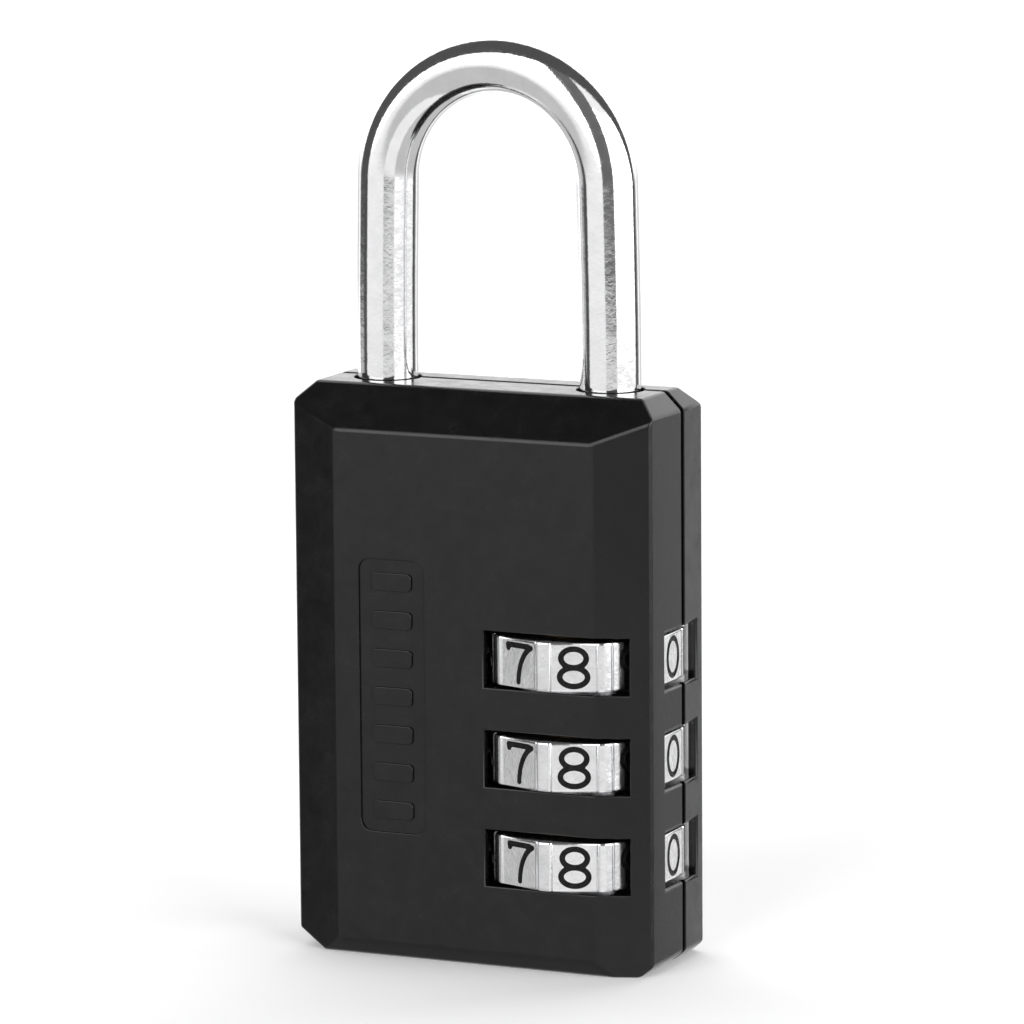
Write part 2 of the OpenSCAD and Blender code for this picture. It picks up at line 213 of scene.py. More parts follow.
def bake_modifiers(ob):
    """Replaces the object's mesh by what its modifiers make of it."""
    graph = bpy.context.evaluated_depsgraph_get()
    made = bpy.data.meshes.new_from_object(ob.evaluated_get(graph))
    ob.modifiers.clear()
    ob.data = made
    return ob


def to_metres(ob):
    ob.data.transform(Matrix.Scale(MM, 4))
    return ob


def shade(ob, angle=30):
    """Smooth shading, with edges sharper than the angle kept."""
    ob.data.shade_smooth()
    ob.data.set_sharp_from_angle(angle=math.radians(angle))


def box_piece(low, high):
    bm = bmesh.new()
    low, high = Vector(low), Vector(high)
    size = high - low
    place = Matrix.Translation((low + high) / 2) @ Matrix.Diagonal((*size, 1))
    bmesh.ops.create_cube(bm, size=1, matrix=place)
    return make_object("cutter", bm)


def disc_piece(centre, radius, height, axis="Z", segments=96):
    """A closed cylinder that starts at centre and runs along +Z or +Y."""
    bm = bmesh.new()
    turn = Matrix.Identity(4) if axis == "Z" else Matrix.Rotation(math.radians(-90), 4, "X")
    place = Matrix.Translation(centre) @ turn @ Matrix.Translation((0, 0, height / 2))
    bmesh.ops.create_cone(
        bm, cap_ends=True, segments=segments, radius1=radius, radius2=radius, depth=height, matrix=place
    )
    return make_object("cutter", bm)


def prism_piece(outline, y0, y1):
    """A closed prism from an XZ outline, between two depths."""
    bm = bmesh.new()
    near = [bm.verts.new((x, y0, z)) for x, z in outline]
    far = [bm.verts.new((x, y1, z)) for x, z in outline]
    bm.faces.new(near)
    bm.faces.new(far[::-1])
    n = len(outline)
    for i in range(n):
        bm.faces.new((near[i], far[i], far[(i + 1) % n], near[(i + 1) % n]))
    return make_object("cutter", bm)


def carve(ob, cutters):
    """Cuts each cutter out of the object, one after another."""
    for cutter in cutters:
        cut = ob.modifiers.new("cut", "BOOLEAN")
        cut.operation = "DIFFERENCE"
        cut.solver = "EXACT"
        cut.object = cutter
        bake_modifiers(ob)


def clear_cutters(cutters):
    for cutter in cutters:
        bpy.data.objects.remove(cutter)


# ---- materials ----


class Shader:
    """A Principled material with short calls for the nodes that it uses."""

    def __init__(self, name):
        self.mat = bpy.data.materials.new(name)
        self.mat.use_nodes = True
        self.tree = self.mat.node_tree
        self.bsdf = self.tree.nodes["Principled BSDF"]
        self.place = self.add("ShaderNodeTexCoord").outputs["Object"]

    def add(self, kind, **settings):
        node = self.tree.nodes.new(kind)
        for key, value in settings.items():
            setattr(node, key, value)
        return node

    def link(self, a, b):
        self.tree.links.new(a, b)

    def noise(self, size_mm, detail=2.0, roughness=0.5, stretch=(1, 1, 1), distortion=0.0):
        """Noise with features of about that size."""
        mapping = self.add("ShaderNodeMapping")
        mapping.inputs["Scale"].default_value = stretch
        self.link(self.place, mapping.inputs["Vector"])
        node = self.add("ShaderNodeTexNoise")
        node.inputs["Scale"].default_value = 1 / (size_mm * MM)
        node.inputs["Detail"].default_value = detail
        node.inputs["Roughness"].default_value = roughness
        node.inputs["Distortion"].default_value = distortion
        self.link(mapping.outputs["Vector"], node.inputs["Vector"])
        return node.outputs["Fac"]

    def ramp(self, value, low, high, out_low, out_high):
        node = self.add("ShaderNodeMapRange", clamp=True)
        for key, number in zip(("From Min", "From Max", "To Min", "To Max"), (low, high, out_low, out_high)):
            node.inputs[key].default_value = number
        self.link(value, node.inputs["Value"])
        return node.outputs["Result"]

    def colours(self, value, stops):
        node = self.add("ShaderNodeValToRGB")
        elements = node.color_ramp.elements
        while len(elements) < len(stops):
            elements.new(0.5)
        for element, (place, colour) in zip(elements, stops):
            element.position = place
            element.color = (*colour, 1)
        self.link(value, node.inputs["Fac"])
        return node.outputs["Color"]

    def bumps(self, *layers):
        """Stacks (height, distance in mm, strength) layers into the normal."""
        last = None
        for height, distance_mm, strength in layers:
            bump = self.add("ShaderNodeBump")
            bump.inputs["Distance"].default_value = distance_mm * MM
            bump.inputs["Strength"].default_value = strength
            self.link(height, bump.inputs["Height"])
            if last is not None:
                self.link(last, bump.inputs["Normal"])
            last = bump.outputs["Normal"]
        self.link(last, self.bsdf.inputs["Normal"])

    def set(self, **values):
        for key, value in values.items():
            self.bsdf.inputs[key.replace("_", " ")].default_value = value


def case_paint():
    s = Shader("case_paint")
    grain = s.noise(0.16, detail=3)
    patch = s.noise(6.0, detail=3, roughness=0.6)
    peel = s.noise(0.7, detail=2)
    s.link(s.colours(patch, [(0.3, (0.0030, 0.0030, 0.0033)), (0.7, (0.0050, 0.0050, 0.0053))]),
           s.bsdf.inputs["Base Color"])
    s.link(s.ramp(s.noise(1.6, detail=6, roughness=0.7), 0.3, 0.7, 0.17, 0.30), s.bsdf.inputs["Roughness"])
    s.bumps((peel, 0.02, 0.16), (grain, 0.010, 0.32))
    s.set(Metallic=0.0, IOR=1.42)
    return s.mat


def chrome(name, colour, wave, pit, roughness):
    """Bright plate with a soft orange peel and fine pits."""
    s = Shader(name)
    s.set(Metallic=1.0)
    mist = s.noise(1.6, detail=4, roughness=0.6)
    dark = tuple(c * 0.93 for c in colour)
    s.link(s.colours(mist, [(0.35, dark), (0.65, colour)]), s.bsdf.inputs["Base Color"])
    s.link(s.ramp(s.noise(0.5, detail=3), 0.35, 0.75, roughness, roughness + 0.09),
           s.bsdf.inputs["Roughness"])
    s.bumps((s.noise(1.5, detail=2, distortion=0.4), 0.05, wave), (s.noise(0.28, detail=3), 0.006, pit),
            (s.noise(0.12, detail=2), 0.003, pit))
    return s.mat


def number_paint():
    s = Shader("number_paint")
    s.link(s.colours(s.noise(0.3, detail=3), [(0.35, (0.004, 0.004, 0.004)), (0.75, (0.012, 0.012, 0.012))]),
           s.bsdf.inputs["Base Color"])
    s.link(s.ramp(s.noise(0.2, detail=2), 0.3, 0.7, 0.18, 0.4), s.bsdf.inputs["Roughness"])
    s.bumps((s.noise(0.25, detail=3), 0.06, 0.9))
    s.set(Specular_IOR_Level=0.15)
    return s.mat


def plain_metal(name, dark, light, roughness, stretch, size=0.5, strength=0.3, metallic=1.0):
    """Turned, drawn or cast metal: streaks or grain along the stretched axis."""
    s = Shader(name)
    streak = s.noise(size, detail=4, roughness=0.6, stretch=stretch)
    s.link(s.colours(streak, [(0.3, dark), (0.7, light)]), s.bsdf.inputs["Base Color"])
    s.link(s.ramp(streak, 0.3, 0.7, roughness, roughness + 0.15), s.bsdf.inputs["Roughness"])
    s.bumps((streak, 0.02, strength))
    s.set(Metallic=metallic)
    return s.mat


# ---- case ----


def case_planes(draft_side):
    """(point, outward normal) of each outer face of the case. The side walls lean in from the
    parting plane by the casting draft, towards the given side."""
    planes = []
    for sx in (-1, 1):
        for sy in (-1, 1):
            run = Vector((HALF_W - FLAT_HALF, HALF_T - SIDE_HALF))
            planes.append(((sx * FLAT_HALF, sy * HALF_T, 0), (sx * run.y, sy * run.x, 0)))
            planes.append(((sx * HALF_W, PARTING_Y, 0),
                           (sx * math.cos(DRAFT), draft_side * math.sin(DRAFT), 0)))
    for sy in (-1, 1):
        planes.append(((0, sy * TOP_HALF, BODY_H), (0, sy * TOP_BEVEL_H, HALF_T - TOP_HALF)))
        planes.append(((0, sy * HALF_T, FOOT_BEVEL_H), (0, sy * FOOT_BEVEL_H, -FOOT_BEVEL_IN)))
    for sx, (foot_w, foot_h) in ((-1, FOOT_LEFT), (1, FOOT_RIGHT)):
        planes.append(((sx * HALF_W, 0, BODY_H - CORNER_H), (sx * CORNER_H, 0, CORNER_W)))
        planes.append(((sx * HALF_W, 0, foot_h), (sx * foot_h, 0, -foot_w)))
    return planes


def cut_plane(bm, point, normal):
    """Cuts the solid by a plane, throws away the outer side and closes the cut."""
    made = bmesh.ops.bisect_plane(
        bm, geom=bm.verts[:] + bm.edges[:] + bm.faces[:], plane_co=point, plane_no=normal, clear_outer=True
    )
    edges = [e for e in made["geom_cut"] if isinstance(e, bmesh.types.BMEdge)]
    if edges:
        bmesh.ops.contextual_create(bm, geom=edges)


def slot_cutters():
    """Cutters for the dial slots, their windows and the sleeve journals' pockets."""
    made = []
    for z in DIAL_ZS:
        low, high = z - WINDOW_H / 2, z + WINDOW_H / 2
        made.append(disc_piece((DIAL_X, 0, low), SLOT_R, WINDOW_H, segments=128))
        made.append(disc_piece((DIAL_X, 0, z - JOURNAL_H / 2), JOURNAL_R, JOURNAL_H))
        made.append(box_piece((WINDOW_LEFT, -HALF_T - PAST, low), (WINDOW_RIGHT, -WINDOW_INNER_Y, high)))
        made.append(box_piece((WINDOW_LEFT, WINDOW_INNER_Y, low), (WINDOW_RIGHT, HALF_T + PAST, high)))
        made.append(box_piece((SIDE_WINDOW_START, SIDE_WINDOW_Y - SIDE_WINDOW_HALF, low),
                              (HALF_W + PAST, SIDE_WINDOW_Y + SIDE_WINDOW_HALF, high)))
    return made


def room_cutters():
    """Cutters for the leg holes and the rooms of the spindle, lift block and springs."""
    travel = joints["shackle_lift"]["range_m"][1] / MM
    block_low, block_high = box_mm("lift_block")
    spindle_low = box_mm("spindle")[0]
    spring_low, spring_high = box_mm("lift_spring")
    detent_low, detent_high = box_mm("detent_spring")
    pin_low = box_mm("spindle_guide_pin")[0]
    guide_low = box_mm("spring_guide_pin")[0]
    spring_x = (spring_low.x + spring_high.x) / 2
    room_top = block_high.z + travel + BLOCK_TOP_GAP
    fin_foot = spindle_low.z - FIN_ROOM_FOOT
    spring_foot = spring_low.z - 0.01
    toe_foot = TOE_Z - TOE_ROOM
    made = [
        disc_piece((DIAL_X, 0, fin_foot), FIN_ROOM_R, FIN_ROOM_TOP - fin_foot),
        box_piece((BLOCK_LEFT, block_low.y - ROOM_GAP, block_low.z - BLOCK_FOOT_GAP),
                  (block_high.x + ROOM_GAP, block_high.y + ROOM_GAP, room_top)),
        box_piece((block_low.x - ROOM_GAP, -ARM_HALF, ARM_FOOT), (BLOCK_LEFT + PAST, ARM_HALF, room_top)),
        disc_piece((spring_x, 0, spring_foot), SPRING_ROOM_R, ARM_FOOT + 0.3 - spring_low.z, segments=48),
        disc_piece((LEG_X, ROD_Y, room_top - PAST), LEG_HOLE_R, BODY_H + 2 * PAST - room_top),
        disc_piece((-LEG_X, ROD_Y, toe_foot), LEG_HOLE_R, BODY_H + PAST - toe_foot),
        box_piece((detent_low.x - 0.1, detent_low.y - ROOM_GAP, detent_low.z - ROOM_GAP),
                  (DIAL_X - SLOT_R + 0.5, detent_high.y + ROOM_GAP, detent_high.z + ROOM_GAP)),
        disc_piece((DIAL_X, 0, pin_low.z), GUIDE_PIN_R, GUIDE_PIN_DEPTH, segments=32),
        disc_piece((spring_x, 0, guide_low.z), SPRING_PIN_R, SPRING_PIN_DEPTH, segments=32),
    ]
    return made


def round_outline(x0, z0, width, height, radius, steps=8):
    """Outline of a rectangle with round corners."""
    points = []
    corners = ((x0 + width - radius, z0 + radius, -90), (x0 + width - radius, z0 + height - radius, 0),
               (x0 + radius, z0 + height - radius, 90), (x0 + radius, z0 + radius, 180))
    for cx, cz, start in corners:
        for k in range(steps + 1):
            a = math.radians(start + 90 * k / steps)
            points.append((cx + radius * math.cos(a), cz + radius * math.sin(a)))
    return points


def panel_cutters():
    """Cutter for the sunk panel, with a column of plain bars left standing in it."""
    y0, y1 = -HALF_T - PAST, -HALF_T + PANEL_DEPTH
    field = prism_piece(round_outline(PANEL_LEFT, PANEL_Z, PANEL_W, PANEL_H, PANEL_CORNER), y0, y1)
    pitch = (PANEL_H - 2 * BAR_FOOT - BAR_H) / (BAR_COUNT - 1)
    for i in range(BAR_COUNT):
        outline = round_outline(
            PANEL_LEFT + BAR_SIDE, PANEL_Z + BAR_FOOT + pitch * i, PANEL_W - 2 * BAR_SIDE, BAR_H, BAR_CORNER)
        bar = prism_piece(outline, y0 - PAST, y1 + PAST)
        carve(field, [bar])
        clear_cutters([bar])
    return [field]


def seam_cutter():
    """Cutter for the groove that runs round the case where the rear half meets the front half."""
    y0, y1 = PARTING_Y - 0.1, PARTING_Y + SEAM_W
    x, top = HALF_W - SEAM_DEPTH, BODY_H - SEAM_DEPTH
    (left_w, left_h), (right_w, right_h) = FOOT_LEFT, FOOT_RIGHT
    corner_z = BODY_H - CORNER_H
    inner = [
        (left_w - HALF_W, SEAM_DEPTH), (HALF_W - right_w, SEAM_DEPTH), (x, right_h), (x, corner_z),
        (HALF_W - CORNER_W, top), (CORNER_W - HALF_W, top), (-x, corner_z), (-x, left_h),
    ]
    band = box_piece((-HALF_W - PAST, y0, -PAST), (HALF_W + PAST, y1, BODY_H + PAST))
    core = prism_piece(inner, y0 - PAST, y1 + PAST)
    carve(band, [core])
    clear_cutters([core])
    return [band]


def height_above(point, plane):
    """How far outside a (point, normal) plane a point lies."""
    co, normal = plane
    return (Vector(point) - Vector(co)).dot(Vector(normal).normalized())


def outer_distance(point, planes):
    """How far inside the case's outer faces a point lies."""
    return min(-height_above(point, plane) for plane in planes)


def drop_spurs(bm):
    """Folds away spurs that the cuts leave: corners where a face's outline runs out and back."""
    targets = {}
    for f in bm.faces:
        for loop in f.loops:
            vert, before, after = loop.vert, loop.link_loop_prev.vert, loop.link_loop_next.vert
            one, two = before.co - vert.co, after.co - vert.co
            if min(one.length, two.length) > 0 and one.angle(two) < math.radians(1):
                targets[vert] = before if one.length < two.length else after
    targets = {vert: near for vert, near in targets.items() if near not in targets}
    if targets:
        bmesh.ops.weld_verts(bm, targetmap=targets)


def lies_at(a, b, y):
    """True if both points are at the depth y."""
    return abs(a.y - y) < NEAR / 2 and abs(b.y - y) < NEAR / 2


def in_panel(point):
    """True if the point is on the front face, in the sunk panel or on its edge."""
    return (
        point.y < -HALF_T + 0.05
        and PANEL_LEFT - 0.05 < point.x < PANEL_LEFT + PANEL_W + 0.05
        and PANEL_Z - 0.1 < point.z < PANEL_Z + PANEL_H + 0.1
    )


def edge_weight(a, b, planes):
    """How strongly the edge between two points on the outside is rounded."""
    mid = (a + b) / 2
    in_window = mid.x > WINDOW_LEFT - 0.05 and any(abs(mid.z - z) <= WINDOW_H / 2 + NEAR for z in DIAL_ZS)
    leg_distance = min(math.hypot(mid.x - sx * LEG_X, mid.y - ROD_Y) for sx in (-1, 1))
    if in_panel(mid):
        return PANEL_EDGE
    if lies_at(a, b, PARTING_Y):
        return PARTING_EDGE
    if lies_at(a, b, PARTING_Y + SEAM_W):
        return SEAM_EDGE
    if leg_distance < LEG_HOLE_R + 0.05 and mid.z > BODY_H - 2:
        return LEG_HOLE_EDGE
    if in_window and not on_outer_block(mid, planes):
        return WINDOW_EDGE
    if abs(mid.x) > HALF_W - CORNER_W - 0.3 and mid.z > BODY_H - CORNER_H - 0.3:
        return CORNER_EDGE
    return CASE_EDGE


def weigh_edges(ob, planes):
    """Sets how strongly each edge is rounded: case edges most, window and parting edges less."""
    bm = bmesh.new()
    bm.from_mesh(ob.data)
    bmesh.ops.remove_doubles(bm, verts=bm.verts[:], dist=0.0005)
    bmesh.ops.dissolve_limit(bm, angle_limit=math.radians(0.5), verts=bm.verts[:], edges=bm.edges[:])
    drop_spurs(bm)
    layer = bm.edges.layers.float.new("bevel_weight_edge")
    for e in bm.edges:
        if len(e.link_faces) != 2 or e.calc_face_angle(0) < EDGE_ANGLE:
            continue
        a, b = e.verts[0].co, e.verts[1].co
        if outer_distance((a + b) / 2, planes) <= NEAR:
            e[layer] = edge_weight(a, b, planes)
    bm.to_mesh(ob.data)
    bm.free()


def on_outer_block(point, planes):
    """True if the point lies on an edge of the uncut block, where two outer faces meet."""
    return sum(abs(height_above(point, plane)) < NEAR for plane in planes) >= 2


def case_half(name, node, side, cutters):
    """One half of the case: side is -1 for the front half and 1 for the rear half."""
    bm = bmesh.new()
    size = Matrix.Diagonal((2 * HALF_W + 2, 2 * HALF_T, BODY_H, 1))
    bmesh.ops.create_cube(bm, size=1, matrix=Matrix.Translation((0, 0, BODY_H / 2)) @ size)
    planes = case_planes(side)
    for point, normal in planes:
        cut_plane(bm, point, normal)
    cut_plane(bm, (0, PARTING_Y, 0), (0, -side, 0))
    ob = make_object(name, bm)
    carve(ob, cutters)
    flats = [((0, side * HALF_T, 0), (0, side, 0)), ((0, 0, BODY_H), (0, 0, 1)), ((0, 0, 0), (0, 0, -1))]
    weigh_edges(ob, planes + flats)
    bevel = ob.modifiers.new("round", "BEVEL")
    bevel.limit_method = "WEIGHT"
    bevel.width = BEVEL_W
    bevel.segments = BEVEL_STEPS
    bevel.use_clamp_overlap = False
    bevel.miter_outer = "MITER_ARC"
    bake_modifiers(ob)
    # Where the rounded edges meet, no corner may reach past the parting plane.
    for vert in ob.data.vertices:
        if (vert.co.y - PARTING_Y) * side < 0:
            vert.co.y = PARTING_Y
    to_metres(ob)
    shade(ob, 35)
    ob.modifiers.new("even_light", "WEIGHTED_NORMAL").keep_sharp = True
    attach(ob, "case")
    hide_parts(node)
    ob.data.materials.append(PAINT)
    return ob


# ---- swept round bars ----


def sweep(name, path, radii, segments, flat_normal):
    """A closed tube along a path, with a radius at each point. flat_normal is a direction that is
    never along the path."""
    bm = bmesh.new()
    rings = []
    n = len(path)
    for i, point in enumerate(path):
        ahead = (path[min(i + 1, n - 1)] - path[max(i - 1, 0)]).normalized()
        u = flat_normal.cross(ahead).normalized()
        v = ahead.cross(u)
        rings.append([
            bm.verts.new(point + radii[i] * (math.cos(a) * u + math.sin(a) * v))
            for a in (math.tau * k / segments for k in range(segments))
        ])
    for one, two in zip(rings, rings[1:]):
        for k in range(segments):
            bm.faces.new((one[k], one[(k + 1) % segments], two[(k + 1) % segments], two[k]))
    bm.faces.new(rings[0][::-1])
    bm.faces.new(rings[-1])
    return make_object(name, bm)


def line_points(a, b, step):
    count = max(2, round((b - a).length / step))
    return [a.lerp(b, k / count) for k in range(count)]


def shackle_path():
    """Centre line points and radii of the shackle, from the heel's end round to the toe's end."""
    heel = [
        (HEEL_Z, ROD_R - HEEL_CHAMFER), (HEEL_Z + HEEL_CHAMFER, ROD_R),
        (GROOVE_LOW - GROOVE_EDGE, ROD_R), (GROOVE_LOW, ROD_R - GROOVE_EDGE),
        (GROOVE_LOW + 0.01, GROOVE_R), (GROOVE_HIGH - 0.01, GROOVE_R),
        (GROOVE_HIGH, ROD_R - GROOVE_EDGE), (GROOVE_HIGH + GROOVE_EDGE, ROD_R),
    ]
    points = [Vector((LEG_X, ROD_Y, z)) for z, _ in heel]
    radii = [r for _, r in heel]
    rise_z = BODY_H + 1
    rest = line_points(Vector((LEG_X, ROD_Y, GROOVE_HIGH + 0.5)), Vector((LEG_X, ROD_Y, rise_z)), LEG_STEP)
    bow_r = LEG_X - BOW_NARROWING
    bow_z = BOW_Z + BOW_NARROWING
    for k in range(RISE_STEPS):
        t = k / RISE_STEPS
        ease = t * t * (1.5 - 0.5 * t)
        rest.append(Vector((LEG_X - BOW_NARROWING * ease, ROD_Y, rise_z + (bow_z - rise_z) * t)))
    arch = [
        Vector((bow_r * math.cos(a), ROD_Y, bow_z + bow_r * math.sin(a)))
        for a in (math.pi * k / BOW_STEPS for k in range(BOW_STEPS + 1))
    ]
    down = [Vector((-p.x, p.y, p.z)) for p in rest[::-1] if p.z > rise_z - 0.01]
    rest += arch + down
    toe_z = TOE_Z + TOE_ROUND
    rest += line_points(Vector((-LEG_X, ROD_Y, BODY_H + 0.5)), Vector((-LEG_X, ROD_Y, toe_z)), LEG_STEP)
    points += rest
    radii += [ROD_R] * len(rest)
    for k in range(7):
        a = math.radians(90 * k / 6)
        points.append(Vector((-LEG_X, ROD_Y, toe_z - TOE_ROUND * math.sin(a))))
        radii.append(ROD_R - TOE_ROUND + TOE_ROUND * math.cos(a))
    return points, radii


def build_shackle():
    points, radii = shackle_path()
    ob = to_metres(sweep("shackle_bow", points, radii, 96, Vector((0, 1, 0))))
    shade(ob, 40)
    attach(ob, "shackle_unit")
    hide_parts("shackle")
    ob.data.materials.append(SHACKLE_CHROME)


def build_lift_spring():
    """The lift spring as a smooth coil with closed ends."""
    low, high = box_mm("lift_spring")
    centre = (low + high) / 2
    wire_r = 0.25
    coil_r = (high.x - low.x) / 2 - wire_r
    turns, end_turns = 11, 1.0
    steps = turns * 28
    rise = (high.z - low.z) - 2 * wire_r
    flat = 2 * wire_r * end_turns
    points = []
    for k in range(steps + 1):
        t = turns * k / steps
        if t < end_turns:
            z = 2 * wire_r * t
        elif t > turns - end_turns:
            z = rise - 2 * wire_r * (turns - t)
        else:
            z = flat + (rise - 2 * flat) * (t - end_turns) / (turns - 2 * end_turns)
        a = math.tau * t
        points.append(Vector(
            (centre.x + coil_r * math.cos(a), centre.y + coil_r * math.sin(a), low.z + wire_r + z)))
    ob = to_metres(sweep("lift_spring_coil", points, [wire_r] * len(points), 14, Vector((0, 0, 1))))
    shade(ob, 50)
    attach(ob, "case")
    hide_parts("lift_spring")
    ob.data.materials.append(SPRING_STEEL)


# ---- numbers ----

NUMBER_W = 1.1
NUMBER_H = 1.44
STROKE = 0.22
FACET_HALF = 1.6
FACE_HALF_H = 1.7
CUT_DEPTH = 0.14
PAINT_DEPTH = 0.08
CELL = 0.1


def arc(cx, cy, rx, ry, start, end, steps=20):
    """Points on part of an ellipse, from one angle to another, in degrees."""
    return [
        (cx + rx * math.cos(math.radians(start + (end - start) * k / steps)),
         cy + ry * math.sin(math.radians(start + (end - start) * k / steps)))
        for k in range(steps + 1)
    ]


def number_strokes(digit):
    """Centre lines of a digit's strokes, in a box from -1 to 1 both ways."""
    if digit == 0:
        return [arc(0, 0, 0.92, 1, 0, 360, 48)]
    if digit == 1:
        return [[(-0.55, 0.62), (0.1, 1), (0.1, -1)], [(-0.45, -1), (0.65, -1)]]
    if digit == 2:
        return [arc(0, 0.45, 0.85, 0.55, 165, -25, 24) + [(-0.85, -1), (0.9, -1)]]
    if digit == 3:
        return [arc(-0.05, 0.5, 0.8, 0.5, 150, -90, 24), arc(-0.05, -0.5, 0.9, 0.5, 90, -150, 24)]
    if digit == 4:
        return [[(0.45, -1), (0.45, 1), (-0.9, -0.4), (0.95, -0.4)]]
    if digit == 5:
        return [[(0.75, 1), (-0.65, 1), (-0.75, 0.12)] + arc(-0.02, -0.36, 0.87, 0.64, 128, -150, 28)]
    if digit == 6:
        return [arc(0, -0.38, 0.88, 0.62, 0, 360, 36), arc(0.55, -0.38, 1.43, 1.38, 180, 100, 20)]
    if digit == 7:
        return [[(-0.92, 0.78), (-0.96, 0.97), (0.94, 0.97)], arc(1.62, -1.05, 1.62, 2.05, 106, 178, 20)]
    if digit == 8:
        return [arc(0, 0.5, 0.88, 0.5, 0, 360, 36), arc(0, -0.5, 0.97, 0.5, 0, 360, 36)]
    return [arc(0, 0.38, 0.88, 0.62, 0, 360, 36), arc(-0.55, 0.38, 1.43, 1.38, 0, -80, 20)]


def stroke_distance(digit, xs, zs):
    """Distance in millimetres from each grid point to the digit's edge, negative inside it."""
    best = np.full(xs.shape, 1e9)
    for stroke in number_strokes(digit):
        for (ax, ay), (bx, by) in zip(stroke, stroke[1:]):
            ax, ay, bx, by = ax * NUMBER_W, ay * NUMBER_H, bx * NUMBER_W, by * NUMBER_H
            dx, dy = bx - ax, by - ay
            t = np.clip(((xs - ax) * dx + (zs - ay) * dy) / (dx * dx + dy * dy + 1e-12), 0, 1)
            best = np.minimum(best, np.hypot(xs - ax - t * dx, zs - ay - t * dy))
    return best - STROKE


def clip_below(corners, values):
    """The part of a polygon where the values are negative, as (key, point) pairs. A key names a
    grid point or a cut grid edge, so neighbours share their points."""
    kept = []
    n = len(corners)
    for i in range(n):
        (ka, pa), (kb, pb) = corners[i], corners[(i + 1) % n]
        va, vb = values[i], values[(i + 1) % n]
        if va < 0:
            kept.append((ka, pa, False))
        if (va < 0) != (vb < 0):
            t = va / (va - vb)
            point = (pa[0] + t * (pb[0] - pa[0]), pa[1] + t * (pb[1] - pa[1]))
            kept.append((tuple(sorted((ka, kb))), point, True))
    return kept


def split_facet(digit):
    """The facet's flat cut in two along the digit's outline: (polygons outside, polygons inside,
    outline segments), each point as (key, (across, up))."""
    nx, nz = round(2 * FACET_HALF / CELL), round(2 * FACE_HALF_H / CELL)
    across = np.linspace(-FACET_HALF, FACET_HALF, nx + 1)
    up = np.linspace(-FACE_HALF_H, FACE_HALF_H, nz + 1)
    xs, zs = np.meshgrid(across, up, indexing="ij")
    d = stroke_distance(digit, xs, zs)
    outside, inside, outline = [], [], []
    for i in range(nx):
        for k in range(nz):
            square = [(i, k), (i + 1, k), (i + 1, k + 1), (i, k + 1)]
            if all(d[c] > 0 for c in square) or all(d[c] < 0 for c in square):
                polygon = [(c, (across[c[0]], up[c[1]])) for c in square]
                (outside if d[square[0]] > 0 else inside).append(polygon)
                continue
            for triangle in (square[:3], [square[0], square[2], square[3]]):
                corners = [(c, (across[c[0]], up[c[1]])) for c in triangle]
                values = [float(d[c]) or 1e-9 for c in triangle]
                below = clip_below(corners, values)
                above = clip_below(corners, [-v for v in values])
                if len(above) > 2:
                    outside.append([p[:2] for p in above])
                if len(below) > 2:
                    inside.append([p[:2] for p in below])
                    for a, b in zip(below, below[1:] + below[:1]):
                        if a[2] and b[2]:
                            outline.append((a[:2], b[:2]))
    return outside, inside, outline


FACETS = [split_facet(digit) for digit in range(FACET_COUNT)]


# ---- dials ----


def sector_outline():
    """One tenth of a dial's outline, from one rib's middle to the next: (angle, radius) pairs,
    with the facet's flat between the two points at -FACET_HALF and FACET_HALF."""
    half = SECTOR / 2
    rib_half = RIB_W / 2
    top = FACET_R + 0.62 * (DIAL_R - FACET_R)
    side = [(0.0, DIAL_R), (rib_half - 0.2, DIAL_R - 0.004), (rib_half - 0.1, DIAL_R - 0.02),
            (rib_half - 0.03, DIAL_R - 0.06), (rib_half + 0.02, top), (rib_half + 0.1, FACET_R + 0.07)]
    found = [(half - math.asin(offset / radius), radius) for offset, radius in side]
    for across, lift in ((FACET_HALF + 0.1, 0.02), (FACET_HALF, 0.0)):
        found.append((math.atan2(across, FACET_R + lift), math.hypot(FACET_R + lift, across)))
    return [(-a, r) for a, r in found] + found[::-1]


def rim_inset(z, radius):
    """How far a dial's outline draws in at a height from its middle: rib ends are rounded a
    little, and the facets have a chamfer along their edges."""
    below = DIAL_H / 2 - abs(z)
    on_rib = radius > FACET_R + 0.6 * (DIAL_R - FACET_R)
    edge = 0.1 if on_rib else 0.2
    if below >= edge:
        return 0.0
    if on_rib:
        return edge - math.sqrt(max(0.0, edge ** 2 - (edge - below) ** 2))
    return 0.8 * (edge - below)


